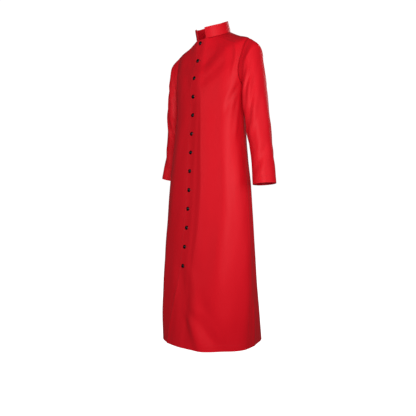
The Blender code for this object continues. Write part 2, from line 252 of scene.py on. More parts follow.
def cloth_finish(name):
    """Red cloth: fine diagonal ribs and uneven threads along the warp, both drawn on the flat cut, and a
    faint rumple. Painted shade darkens the seams where they sink in, and a painted highlight lightens the
    folded edges."""
    shine = {"Specular IOR Level": SATIN_LEVEL, "Specular Tint": (*SATIN_TINT, 1)}
    made, wire = finish(name, {"Roughness": CLOTH_ROUGHNESS, **shine})
    cut = wire.node("UVMap", {"uv_map": "cut"}, {})
    place = wire.node("TexCoord", {}, {}, "Object")
    slant = cut.node("SeparateXYZ", {}, {0: cut}, "X") + cut.node("SeparateXYZ", {}, {0: cut}, "Y")
    rib = wire.math("SINE", slant * (2 * np.pi / TWILL_PITCH))
    threads = cut.stretched(*THREADS_PER_M).noise(1.0, 3.0)
    rumple = place.stretched(1, 1, 0.55).noise(RUMPLE_SCALE, 3.0)
    clouds = place.stretched(1, 1, 0.4).noise(CLOUD_SCALE, 3.0)
    seam = wire.node("Attribute", {"attribute_name": "seam"}, {}, "Fac")
    edge = wire.node("Attribute", {"attribute_name": "edge"}, {}, "Fac")
    share = 0.5 + (clouds - 0.5) * 1.1 + (threads - 0.5) * 0.5 + rib * 0.04
    colour = wire.mix(share, (*CLOTH_DEEP, 1), (*CLOTH_LIT, 1))
    # Painted shade: a darker red mixed in along the seams, by the seam mask
    colour = wire.mix(seam * SEAM_STRENGTH, colour, (*SEAM_SHADE, 1))
    # Painted highlight: a lighter red mixed in along the folded edges, by the edge mask
    colour = wire.mix(edge * EDGE_HIGHLIGHT_STRENGTH, colour, (*EDGE_HIGHLIGHT, 1))
    rise = rib * TWILL_RISE + threads * THREAD_RISE + rumple * RUMPLE_RISE
    normal = wire.node("Bump", {}, {"Height": rise, "Distance": 1.0, "Strength": 1.0})
    roughness = CLOTH_ROUGHNESS + (clouds - 0.5) * ROUGHNESS_SPREAD
    feed(made, Base_Color=colour, Roughness=roughness, Normal=normal)
    return made


CLOTH = cloth_finish("cassock_cloth")

# Body panels
# Two fronts and two backs, each one length from the neck to the hem. They are sewn together at the sides,
# the shoulders and the centre back. The left front laps over the right one, and swings open at the hem.
PANEL_WALL = 0.0012
TURNED_WALL = 0.0024
RIM_ROUND = 0.3
SEAM_GAP = 0.0003
Section = namedtuple("Section", "height half_width front side back square front_drop back_rise left_rise")
SECTIONS = (
    Section(-1.250, 0.210, -0.190, -0.015, 0.188, 2.15, -0.012, -0.018, 0.016),
    Section(-1.100, 0.219, -0.175, -0.015, 0.142, 2.35, 0.000, 0.000, 0.005),
    Section(-0.960, 0.220, -0.159, -0.015, 0.115, 2.40, 0.000, 0.000, 0.000),
    Section(-0.860, 0.219, -0.147, -0.015, 0.102, 2.40, 0.000, 0.000, 0.000),
    Section(-0.760, 0.215, -0.135, -0.015, 0.089, 2.40, 0.000, 0.000, 0.000),
    Section(-0.610, 0.205, -0.124, -0.015, 0.079, 2.40, 0.000, 0.000, 0.000),
    Section(-0.510, 0.190, -0.118, -0.014, 0.078, 2.40, 0.000, 0.000, 0.000),
    Section(-0.410, 0.179, -0.111, -0.012, 0.079, 2.35, 0.000, 0.000, 0.000),
    Section(-0.310, 0.176, -0.103, -0.006, 0.080, 2.30, 0.000, 0.000, 0.000),
    Section(-0.225, 0.185, -0.100, -0.002, 0.086, 2.30, 0.002, 0.000, 0.000),
    Section(-0.160, 0.196, -0.092, 0.003, 0.088, 2.20, 0.012, 0.002, 0.000),
    Section(-0.100, 0.202, -0.079, 0.007, 0.086, 2.10, 0.028, 0.008, 0.000),
    Section(-0.044, 0.192, -0.070, 0.008, 0.082, 2.05, 0.044, 0.020, 0.000),
    Section(-0.020, 0.128, -0.064, 0.008, 0.080, 2.00, 0.032, 0.026, 0.000),
    Section(0.000, 0.073, -0.060, 0.0075, 0.079, 2.00, 0.022, 0.030, 0.000),
)
UNDERARM_SECTION = 9
SHOULDER_SECTION = 12
ARMHOLE_FRONT_DEG = 25.0
ARMHOLE_BACK_DEG = 24.0
LAP = 0.020
LAP_AT_HEM = 0.076
LAP_SWINGS_FROM = -0.930
LAP_SWINGS_TO = -1.350
LAP_SWING_POWER = 0.8
LAP_LIFT = 0.0025
LIFT_FALL = 0.026
Fold = namedtuple("Fold", "start_deg end_deg top bottom width_deg out fade")
SKIRT_FOLDS = (
    Fold(2, 34, -0.93, -1.25, 9, 0.0055, 0),
    Fold(14, 58, -0.96, -1.25, 11, -0.0050, 0),
    Fold(88, 84, -0.62, -1.25, 11, 0.0050, 0),
    Fold(112, 116, -0.66, -1.25, 12, -0.0070, 0),
    Fold(140, 146, -0.52, -1.25, 12, 0.0080, 0),
    Fold(170, 172, -0.60, -1.25, 13, -0.0080, 0),
    Fold(-152, -148, -0.48, -1.25, 13, 0.0075, 0),
    Fold(-124, -120, -0.58, -1.25, 12, -0.0065, 0),
    Fold(-98, -92, -0.68, -1.25, 11, 0.0050, 0),
    Fold(-58, -50, -0.86, -1.25, 10, -0.0045, 0),
)
# Creases are smaller than folds. Each is a bowed line from one place to another, with its width, how far
# it stands out or sinks in, and how round its crest is. CREASE_RADIUS turns degrees round the body into
# metres.
Crease = namedtuple("Crease", "from_deg from_height to_deg to_height bow width out crest", defaults=(0.5,))
CREASE_RADIUS = 0.19
BODY_CREASES = (
    Crease(8, -0.12, 12, -0.97, 0.031, 0.031, 0.0080, 0.08),
    Crease(-4, -0.93, 8, -1.22, 0.018, 0.020, -0.0046),
    Crease(12, -0.93, 24, -1.14, 0.008, 0.016, 0.0020),
    Crease(8, -1.09, 32, -1.24, 0.004, 0.011, 0.0028, 0.4),
    Crease(17, -1.09, 46, -1.21, 0.004, 0.014, -0.0034),
    Crease(43, -0.030, 8, -0.15, -0.010, 0.022, -0.0056),
    Crease(40, -0.13, 12, -0.22, -0.006, 0.018, -0.0030),
    Crease(58, -0.03, 57, -0.19, 0.003, 0.009, 0.0030, 0.3),
    Crease(48, -0.06, 49, -0.16, 0.002, 0.012, -0.0018),
    Crease(75, -0.22, 52, -0.34, -0.010, 0.013, -0.0022),
    Crease(80, -0.26, 70, -0.44, 0.006, 0.012, 0.0018),
    Crease(38, -0.70, 45, -1.02, 0.004, 0.022, 0.0022),
    Crease(60, -0.46, 66, -0.90, -0.008, 0.020, -0.0016),
    Crease(-43, -0.030, -8, -0.15, 0.010, 0.022, -0.0048),
    Crease(-36, -0.10, -12, -0.22, 0.008, 0.018, -0.0028),
    Crease(-60, -0.08, -66, -0.19, -0.004, 0.011, 0.0024),
    Crease(-76, -0.22, -46, -0.36, 0.012, 0.013, -0.0026),
    Crease(-80, -0.27, -60, -0.47, -0.008, 0.012, 0.0020),
    Crease(-24, -0.30, -30, -0.88, -0.012, 0.022, 0.0022),
    Crease(-40, -0.78, -36, -1.22, 0.008, 0.018, 0.0030),
    Crease(-72, -0.62, -80, -1.10, 0.010, 0.020, -0.0022),
    Crease(118, -0.12, 138, -0.30, -0.010, 0.014, -0.0030),
    Crease(-119, -0.12, -136, -0.32, 0.012, 0.014, -0.0034),
    Crease(112, -0.23, 142, -0.40, 0.010, 0.013, 0.0024),
    Crease(-110, -0.24, -145, -0.38, -0.008, 0.013, 0.0026),
    Crease(130, -0.36, 172, -0.44, 0.012, 0.013, -0.0026),
    Crease(-128, -0.40, -170, -0.46, -0.010, 0.013, -0.0022),
    Crease(165, -0.02, 176, -0.16, 0.006, 0.016, 0.0020),
    Crease(-166, -0.03, -178, -0.20, -0.006, 0.016, 0.0018),
    Crease(100, -0.50, 106, -1.05, 0.008, 0.018, -0.0024),
    Crease(104, -1.04, 105, -1.25, 0.000, 0.010, 0.0024),
    Crease(158, -0.62, 160, -1.12, 0.010, 0.020, 0.0026),
    Crease(-178, -0.58, 176, -1.18, -0.006, 0.018, -0.0024),
    Crease(-136, -0.70, -132, -1.20, 0.006, 0.016, -0.0026),
)
CREASE_DIP = 0.38
CREASE_DIP_AT = 2.1
ARMHOLE_CALM = 0.024
PANEL_WAVER = 0.0007
PANEL_WAVER_LENGTHS = (0.16, 0.11, 0.083, 0.061)
PANEL_SEED = 4
SEAM_DIP = 0.0006
SEAM_DIP_WIDTH = 0.0020
SEAM_SHADE_WIDTH = 0.0022
EDGE_HIGHLIGHT_WIDTH = 0.0016
PUCKER_RISE = 0.00030
PUCKER_PITCH = 0.0135
PUCKER_FROM_SEAM = 0.004
PUCKER_WIDTH = 0.006
PUCKER_DRIFT = 0.004
PUCKER_DRIFT_LENGTHS = (0.05, 0.031)
PUCKER_SEED = 9
HEM = 0.024
HEM_STEP = 0.001
HEM_GROOVE = 0.00035
FACING = 0.030
FACING_FADE = 0.045
EDGE_STITCH = 0.006
EDGE_GROOVE = 0.00030
GROOVE_WIDTH = 0.0014
EDGE_ROLL = 0.0022
LAP_ROLLS_AT = -1.06
PITCH_OF_MESH = 0.0048
YOKE_ROWS = 30


def smooth(knots, values, at):
    """Cubic through the table's values, with slopes limited so that it never overshoots them."""
    knots, values, at = (np.asarray(a, float) for a in (knots, values, at))
    step = np.diff(knots)
    rise = np.diff(values) / step
    slope = np.zeros_like(values)
    same = rise[:-1] * rise[1:] > 0
    slope[1:-1][same] = 2 * rise[:-1][same] * rise[1:][same] / (rise[:-1] + rise[1:])[same]
    slope[0], slope[-1] = rise[0], rise[-1]
    i = np.clip(np.searchsorted(knots, at, side="right") - 1, 0, len(knots) - 2)
    u = (at - knots[i]) / step[i]
    return hermite(values[i], values[i + 1], step[i] * slope[i], step[i] * slope[i + 1], u)


def hermite(start, end, leave, arrive, u):
    """Cubic from start to end, leaving and arriving with the given tangents, at u from 0 to 1."""
    return (
        start * (1 + 2 * u) * (1 - u) ** 2
        + end * u * u * (3 - 2 * u)
        + leave * u * (1 - u) ** 2
        - arrive * u * u * (1 - u)
    )


def ease(low, high, value):
    """0 below low, 1 above high, and a smooth rise between."""
    u = np.clip((value - low) / (high - low), 0, 1)
    return u * u * (3 - 2 * u)


def bell(distance, width):
    """1 at no distance, and a soft fall to 0 over about two widths."""
    return np.exp(-((distance / width) ** 2))


def unit(vectors):
    return vectors / np.maximum(np.linalg.norm(vectors, axis=-1, keepdims=True), 1e-12)


# A station is a length up the side of the garment from the hem
TABLE = np.array(SECTIONS)
STATIONS = np.concatenate([[0], np.cumsum(np.hypot(np.diff(TABLE[:, 0]), np.diff(TABLE[:, 1])))])
UNDERARM = STATIONS[UNDERARM_SECTION]
SHOULDER = STATIONS[SHOULDER_SECTION]
NECK = STATIONS[-1]


def column(name, station):
    """One of the table's columns at any station."""
    return smooth(STATIONS, TABLE[:, Section._fields.index(name)], station)


def fold_out(folds, angle, height):
    """How far folds carry a surface outward: each is a soft ridge or trough across its line, which drifts
    round the piece as it deepens on its way down."""
    total = np.zeros(np.broadcast(angle, height).shape)
    for fold in folds:
        share = np.clip((fold.top - height) / (fold.top - fold.bottom), 0, 1)
        line = np.radians(fold.start_deg + (fold.end_deg - fold.start_deg) * share)
        away = (angle - line + np.pi) % (2 * np.pi) - np.pi
        depth = fold.out * ease(0, 0.6, share) * (1 - fold.fade * ease(0.4, 1, share))
        total += depth * bell(away, np.radians(fold.width_deg))
    return total


def crease_out(creases, angle, height, radius):
    """How far creases carry a surface outward. Across each bowed line the profile falls off as a power of
    e, from a rounded crest, with a shallow dip on both sides. It dies away at both of the line's ends."""
    total = np.zeros(np.broadcast(angle, height).shape)
    for crease in creases:
        start = np.radians(crease.from_deg)
        from_start = ((angle - start + np.pi) % (2 * np.pi) - np.pi) * radius
        line = np.array([np.radians(crease.to_deg) - start, 0]) * radius
        line[0] = ((line[0] / radius + np.pi) % (2 * np.pi) - np.pi) * radius
        line[1] = crease.to_height - crease.from_height
        length = np.hypot(*line)
        down = height - crease.from_height
        share = (from_start * line[0] + down * line[1]) / length**2
        away = (from_start * -line[1] + down * line[0]) / length
        inside = np.clip(share, 0, 1)
        away = away - crease.bow * 4 * inside * (1 - inside)
        along = ease(-0.12, 0.28, share) * ease(1.12, 0.72, share)
        crest = crease.crest * crease.width
        profile = np.exp((crest - np.hypot(away, crest)) / crease.width)
        profile = profile - CREASE_DIP * bell(np.abs(away) - CREASE_DIP_AT * crease.width, crease.width)
        total += crease.out * along * profile
    return total


def waver(x, y, lengths, seed):
    """An uneven surface from about -1 to 1: slanted sine waves of unlike lengths and seeded phases."""
    dice = np.random.default_rng(seed)
    total = 0
    for length in lengths:
        slant, phase = dice.uniform(0, np.pi), dice.uniform(0, 2 * np.pi)
        total = total + np.sin(2 * np.pi * (x * np.cos(slant) + y * np.sin(slant) * 0.5) / length + phase)
    return total / len(lengths)


def body(angle, station, lift=0.0):
    """The outer surface. The angle is 0 at the centre front, 90 degrees at the wearer's left side and 180
    at the centre back. Each level is a rounded rectangle with its own front, side and back: the angle's
    sine and cosine, over the root of the sum of their powers, times its half width and depths. Folds are
    added outward. lift moves a point out along the normal."""
    angle, station = np.broadcast_arrays(np.asarray(angle, float), np.asarray(station, float))
    sine, cosine = np.sin(angle), np.cos(angle)
    power = column("square", station)
    reach = (np.abs(sine) ** power + np.abs(cosine) ** power) ** (-1 / power)
    front = cosine > 0
    side = column("side", station)
    depth = np.where(front, side - column("front", station), column("back", station) - side)
    slant = np.where(front, column("front_drop", station), column("back_rise", station))
    height = column("height", station) - slant * cosine + column("left_rise", station) * sine
    out = fold_out(SKIRT_FOLDS, angle, height)
    wide = column("half_width", station) * reach + out
    points = np.stack([wide * sine, side - (depth * reach + out) * cosine, height], axis=-1)
    if np.any(lift):
        points = points + body_normal(angle, station) * np.asarray(lift)[..., None]
    return points


def body_normal(angle, station):
    """Outward unit normal of the body surface, by differences."""
    step = 1e-4
    low, high = np.maximum(station - step, 0), np.minimum(station + step, NECK)
    round_it = body(angle + step, station) - body(angle - step, station)
    up_it = body(angle, high) - body(angle, low)
    return unit(np.cross(round_it, up_it))


def places(length, pitch, close=(0.0009, 0.0022, 0.0042)):
    """Shares from 0 to 1 of a length, about a pitch apart, with some close to both ends."""
    near = np.array(close) / length
    fixed = np.concatenate([[0], near, 1 - near, [1]])
    even = np.linspace(0, 1, int(round(length / pitch)) + 1)
    clear = np.abs(even[:, None] - fixed).min(axis=1) > 0.45 * pitch / length
    return np.sort(np.concatenate([fixed, even[clear]]))


def armhole_rows(count=44):
    """Stations up the armhole, closer together at both its ends."""
    turn = np.linspace(0, np.pi, count + 1)
    return UNDERARM + (SHOULDER - UNDERARM) * (1 - np.cos(turn)) / 2


def armhole_rise(station):
    """0 at the underarm and 1 at the shoulder's tip."""
    return (station - UNDERARM) / (SHOULDER - UNDERARM)


def armhole_bite(station):
    """0 at both ends of the armhole and 1 half way up it, as a half circle."""
    return np.sqrt(np.clip(1 - (2 * armhole_rise(station) - 1) ** 2, 0, None))


def lap_edge(station):
    """How far the left front's edge lies past the centre line."""
    swing = ease(LAP_SWINGS_FROM, LAP_SWINGS_TO, column("height", station)) ** LAP_SWING_POWER
    return LAP + (LAP_AT_HEM - LAP) * swing


def lap_lift(distance):
    """How far the left front lies out over the right one, at a distance past the centre line."""
    return LAP_LIFT * (1 - ease(LAP, LAP + LIFT_FALL, distance))


def runs(points, axis):
    """Length along a grid's columns or rows to each of its points."""
    steps = np.linalg.norm(np.diff(points, axis=axis), axis=-1)
    start = np.zeros_like(np.take(steps, [0], axis))
    return np.concatenate([start, np.cumsum(steps, axis=axis)], axis=axis)


def shell(name, outer, normal, wall, cut, seam, edge):
    """A thin closed shell of cloth behind a grid of outer points: an inner grid one wall deeper, and a rim
    of points half way between them that rounds the border. cut is the place of each point on the flat
    piece, and seam and edge say how near it is to a seam or to a folded edge."""
    rows, columns = outer.shape[:2]
    inner = outer - normal * wall[..., None]
    number = np.arange(rows * columns).reshape(rows, columns)
    border = np.concatenate([number[0, :-1], number[:-1, -1], number[-1, :0:-1], number[:0:-1, 0]])
    beside = np.pad(number[1:-1, 1:-1], 1, mode="edge")
    inward = np.concatenate([beside[0, :-1], beside[:-1, -1], beside[-1, :0:-1], beside[:0:-1, 0]])
    flat_outer, flat_inner = outer.reshape(-1, 3), inner.reshape(-1, 3)
    rim = (flat_outer[border] + flat_inner[border]) / 2
    rim += unit(flat_outer[border] - flat_outer[inward]) * wall.reshape(-1, 1)[border] * RIM_ROUND
    size = rows * columns
    ring = 2 * size + np.arange(len(border))
    quads = grid_faces(rows, columns)
    sides = []
    for first, second in ((border, ring), (ring, border + size)):
        sides.append(np.stack([np.roll(first, -1), first, second, np.roll(second, -1)], axis=-1))
    points = np.concatenate([flat_outer, flat_inner, rim])
    faces = np.concatenate([quads, quads[:, ::-1] + size, *sides])
    made = mesh_object(name, points, faces, CLOTH)
    mesh = made.data
    spread = [np.concatenate([a, a, a[border]]) for a in (cut.reshape(-1, 2), seam.ravel(), edge.ravel())]
    corner = np.zeros(len(mesh.loops), np.int32)
    mesh.loops.foreach_get("vertex_index", corner)
    mesh.uv_layers.new(name="cut").data.foreach_set("uv", spread[0][corner].ravel().astype(np.float32))
    # The seam and edge attributes carry the masks for the cloth's painted shade and painted highlight
    for label, values in zip(("seam", "edge"), spread[1:]):
        mesh.attributes.new(label, "FLOAT", "POINT").data.foreach_set("value", values.astype(np.float32))
    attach(made, "root")
    return made


def resampled(points, normals, pitch):
    """Points at an even pitch along a line, with its direction and normal at each."""
    run = runs(points, 0)
    at = np.arange(pitch / 2, run[-1], pitch)
    place, normal = (
        np.stack([np.interp(at, run, values[:, axis]) for axis in range(3)], axis=-1)
        for values in (points, normals)
    )
    return place, unit(np.gradient(place, axis=0)), unit(normal)


# A stitch's length, half width and height, the pitch of a row of them, the rows and sides of its grid, and
# how far it rises and how deep its ends are sunk, as shares of its height
STITCH = (0.0026, 0.00028, 0.00022)
STITCH_PITCH = 0.0034
STITCH_GRID = (7, 5)
STITCH_ARCH = 1.3
STITCH_SUNK = 0.4


def stitches(name, lines, material, size=STITCH, pitch=STITCH_PITCH, across=False):
    """A row of sewing: at an even pitch along each line, one thread that rises out of the cloth and dives
    back. Its height follows a sine arch whose ends are sunk in, and its girth closes at both ends. across
    turns each thread to lie across the line."""
    length, width, height = size
    rows, sides = STITCH_GRID
    t = np.linspace(0, 1, rows)[:, None]
    turn = np.linspace(0, 2 * np.pi, sides + 1)[:-1]
    girth = np.sqrt(np.sin(np.pi * np.clip(t, 0.02, 0.98)))
    along = (t - 0.5) * length + 0 * turn
    aside = width * girth * np.cos(turn)
    up = height * (np.sin(np.pi * t) * STITCH_ARCH - STITCH_SUNK) + width * girth * np.sin(turn)
    points, faces = [], []
    row, col = np.divmod(grid_faces(rows, sides + 1), sides + 1)
    quads = row * sides + col % sides
    for line, normal in lines:
        place, direction, out = resampled(line, normal, pitch)
        other = unit(np.cross(out, direction))
        if across:
            direction, other = other, -direction
        grid = (
            place[:, None, None]
            + direction[:, None, None] * along[..., None]
            + other[:, None, None] * aside[..., None]
            + out[:, None, None] * up[..., None]
        )
        start = sum(len(p) for p in points) + np.arange(len(place))[:, None, None] * along.size
        points.append(grid.reshape(-1, 3))
        faces.append((quads + start).reshape(-1, 4))
    made = mesh_object(name, np.concatenate(points), np.concatenate(faces), material)
    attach(made, "root")
    return made


THREAD_TINT = (0.60, 0.010, 0.018)
THREAD_SHADE = 0.72
TWIST_SCALE = 2600.0
TWIST_RISE = 0.00008


def thread_finish(name, tint):
    """Sewing thread, a shade off the cloth, with a fine uneven twist."""
    made, wire = finish(name, {"Roughness": 0.5, "Specular IOR Level": 0.35})
    place = wire.node("TexCoord", {}, {}, "Object")
    twist = place.noise(TWIST_SCALE, 1.0)
    deep = tuple(THREAD_SHADE * part for part in tint)
    feed(made, Base_Color=wire.mix(twist, (*deep, 1), (*tint, 1)))
    feed(made, Normal=wire.node("Bump", {}, {"Height": twist * TWIST_RISE, "Distance": 1.0}))
    return made


THREAD = thread_finish("cassock_thread", THREAD_TINT)


def panel(low, high, folded_low=None, laps=False):
    """One body panel between two lines of angles, from the hem to the neck. Its outer surface is the
    body's, plus creases and a slight waver that die away beside the armholes, a dip with fine puckers along
    each seam, and a groove along the stitches. folded_low is True where the border at the low angles is a
    folded edge and the other a seam, False the other way round, and None where both are seams. laps is for
    the left front, whose edge is lifted over the other and rolls a little outward low down, where it
    swings open. Returns the grid, its normals and what shell needs."""
    skirt = places(UNDERARM, PITCH_OF_MESH)[:-1] * UNDERARM
    rows = np.concatenate([skirt, armhole_rows(), np.linspace(SHOULDER, NECK, YOKE_ROWS)[1:]])
    low, high = low(rows)[:, None], high(rows)[:, None]
    across = places(CREASE_RADIUS * float(abs(high[0, 0] - low[0, 0])), PITCH_OF_MESH)
    angle = low + (high - low) * across
    station = np.broadcast_to(rows[:, None], angle.shape)
    plain = body(angle, station)
    from_low, up = runs(plain, 1), runs(plain, 0)
    from_high = from_low[:, -1:] - from_low
    from_top = up[-1:] - up
    ends = {True: (from_high, from_low), False: (from_low, from_high)}
    seamed = np.minimum(from_low, from_high) if folded_low is None else ends[folded_low][0]
    folded = up if folded_low is None else np.minimum(up, ends[folded_low][1])
    seamed = np.minimum(seamed, from_top)
    height = plain[..., 2]
    rise = armhole_rise(station)
    beside_armhole = ease(0, 0.15, rise) * ease(1.6, 1, rise)
    out = crease_out(BODY_CREASES, angle, height, CREASE_RADIUS)
    out += PANEL_WAVER * waver(angle * CREASE_RADIUS, height, PANEL_WAVER_LENGTHS, PANEL_SEED)
    out *= 1 - beside_armhole * ease(ARMHOLE_CALM, 0.001, seamed)
    out -= SEAM_DIP * bell(seamed, SEAM_DIP_WIDTH)
    drift = PUCKER_DRIFT * waver(up, height, PUCKER_DRIFT_LENGTHS, PUCKER_SEED)
    pucker = np.sin(2 * np.pi * (up + drift) / PUCKER_PITCH)
    out += PUCKER_RISE * pucker * bell(seamed - PUCKER_FROM_SEAM, PUCKER_WIDTH)
    out -= HEM_GROOVE * bell(up - HEM, GROOVE_WIDTH)
    wall = PANEL_WALL + (TURNED_WALL - PANEL_WALL) * ease(HEM + HEM_STEP, HEM - HEM_STEP, up)
    if folded_low is not None:
        from_fold = ends[folded_low][1]
        out -= EDGE_GROOVE * bell(from_fold - EDGE_STITCH, GROOVE_WIDTH)
        turned_in = ease(FACING_FADE, FACING, from_fold)
        wall = np.maximum(wall, PANEL_WALL + (TURNED_WALL - PANEL_WALL) * turned_in)
    if laps:
        out += lap_lift(np.tan(angle) * column("half_width", station))
        roll = EDGE_ROLL * bell(from_fold - EDGE_STITCH, EDGE_STITCH)
        out += roll * ease(LAP_SWINGS_FROM, LAP_ROLLS_AT, height)
    outer = body(angle, station, out)
    normal = body_normal(angle, station)
    borders = [(np.s_[-1, :], np.s_[-2, :])]
    borders += [(np.s_[:, 0], np.s_[:, 1])] if folded_low is not True else []
    borders += [(np.s_[:, -1], np.s_[:, -2])] if folded_low is not False else []
    for border, inward in borders:
        outer[border] = outer[border] + unit(outer[inward] - outer[border]) * SEAM_GAP / 2
    cut = np.stack([from_low, up], axis=-1)
    # The last two are the masks of the painted shade along the seams and of the painted highlight along the
    # folded edges
    return outer, normal, wall, cut, bell(seamed, SEAM_SHADE_WIDTH), bell(folded, EDGE_HIGHLIGHT_WIDTH)


def front_side(side):
    """The angle of a front's seam: the side, the armhole's edge and the shoulder."""
    return lambda station: side * np.radians(90 - ARMHOLE_FRONT_DEG * armhole_bite(station))


def back_side(side):
    """The angle of a back's seam, on the wearer's left where side is 1."""

    def line(station):
        turn = np.radians(90 + ARMHOLE_BACK_DEG * armhole_bite(station))
        return turn if side > 0 else 2 * np.pi - turn

    return line


def centre_back(station):
    return np.pi + 0 * station


def over_edge(station):
    """The angle of the left front's edge, past the centre line."""
    return -np.arctan(lap_edge(station) / column("half_width", station))


def under_edge(station):
    """The angle of the right front's edge, beneath the other."""
    return np.arctan(LAP / column("half_width", station))


def line_at(grid, normal, distance, want):
    """The line across a grid on which a distance that rises along each row has the wanted value, with the
    two nearest points blended, and the normals there."""
    index = np.array([np.interp(want, row, np.arange(len(row))) for row in distance])
    low = np.clip(index.astype(int), 0, distance.shape[1] - 2)
    share = (index - low)[:, None]
    pick = np.arange(len(index))
    return tuple(g[pick, low] * (1 - share) + g[pick, low + 1] * share for g in (grid, normal))


def hem_line(grid):
    """The line along a panel or a sleeve where its hem is stitched."""
    return line_at(grid[0].swapaxes(0, 1), grid[1].swapaxes(0, 1), grid[3][..., 1].T, HEM)


left_grid = panel(over_edge, front_side(1), folded_low=True, laps=True)
right_grid = panel(front_side(-1), under_edge, folded_low=False)
back_left_grid = panel(back_side(1), centre_back)
back_right_grid = panel(centre_back, back_side(-1))
front_left = shell("cassock_front_left", *left_grid)
front_right = shell("cassock_front_right", *right_grid)
back_left = shell("cassock_back_left", *back_left_grid)
back_right = shell("cassock_back_right", *back_right_grid)
edge_line = line_at(left_grid[0], left_grid[1], left_grid[3][..., 0], EDGE_STITCH)
hem_stitches = [
    stitches("hem_stitches_" + name, [hem_line(grid)], THREAD)
    for name, grid in (
        ("front_left", left_grid),
        ("front_right", right_grid),
        ("back_left", back_left_grid),
        ("back_right", back_right_grid),
    )
]
edge_stitches = stitches("edge_stitches", [edge_line], THREAD)
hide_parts("front_left")
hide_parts("front_right")
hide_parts("back_left")
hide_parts("back_right")

# Sleeves
# Each is one panel with its seam at the inner side, eased into the armhole so that its head stands a little
# proud of the seam, and hemmed with one row of stitches.
Arm = namedtuple("Arm", "height out back across deep tip")
ARMS = (
    Arm(-0.160, 0.2170, 0.010, 0.027, 0.053, 0.076),
    Arm(-0.275, 0.2300, 0.010, 0.039, 0.058, 0.014),
    Arm(-0.386, 0.2405, 0.016, 0.042, 0.051, 0.000),
    Arm(-0.495, 0.2595, 0.016, 0.042, 0.046, 0.000),
    Arm(-0.603, 0.2775, 0.008, 0.043, 0.046, 0.000),
)
ARM_PITCH = 0.0042
CAP_RUN = 0.08
CAP_PITCH = 0.0036
CAP_FULLNESS = 0.8
CAP_CALM = 0.02
ARM_FOLLOW = 0.8
ARM_FOLLOW_ROW = 5
LEAVE_UNDERARM = (0.45, 0.85)
LEAVE_SHOULDER = (1.00, 0.15)
LEAVE_FACING = 0.02
SLEEVE_FOLDS = (
    Fold(112, 80, -0.15, -0.36, 17, -0.0050, 1),
    Fold(78, 52, -0.20, -0.42, 15, 0.0040, 1),
    Fold(250, 285, -0.17, -0.40, 18, -0.0050, 1),
    Fold(300, 320, -0.28, -0.46, 15, 0.0035, 1),
)
SLEEVE_WAVER = 0.0005
SLEEVE_WAVER_LENGTHS = (0.09, 0.062, 0.047)
SLEEVE_RADIUS = 0.05
SLEEVE_SEED = 20
HEAD_FULLNESS = 0.0026
HEAD_DOWN = 0.010
HEAD_WIDTH = 0.009
HEAD_RIPPLE = 0.00045
HEAD_RIPPLES = 34
RIPPLE_DOWN = 0.006
CREASE_SHIFT = 0.06
SLEEVE_CREASE_RADIUS = 0.048
SLEEVE_CREASES = (
    Crease(140, -0.140, 92, -0.245, 0.003, 0.0075, -0.0036, 0.3),
    Crease(146, -0.190, 88, -0.390, 0.004, 0.0090, -0.0056, 0.3),
    Crease(134, -0.150, 66, -0.265, 0.002, 0.0070, 0.0040, 0.4),
    Crease(138, -0.290, 78, -0.440, -0.003, 0.0085, 0.0030),
    Crease(168, -0.440, 64, -0.570, 0.006, 0.0110, -0.0030),
    Crease(176, -0.260, 186, -0.420, 0.004, 0.0130, 0.0020),
    Crease(60, -0.330, 20, -0.400, 0.004, 0.0075, -0.0030),
    Crease(66, -0.385, 24, -0.450, -0.003, 0.0075, 0.0026),
    Crease(340, -0.350, 300, -0.420, -0.004, 0.0080, -0.0030),
    Crease(232, -0.120, 268, -0.250, -0.004, 0.0090, -0.0036),
    Crease(240, -0.230, 290, -0.360, 0.004, 0.0100, -0.0034),
    Crease(214, -0.350, 262, -0.470, -0.005, 0.0100, 0.0024),
    Crease(200, -0.480, 280, -0.580, 0.004, 0.0110, -0.0022),
)


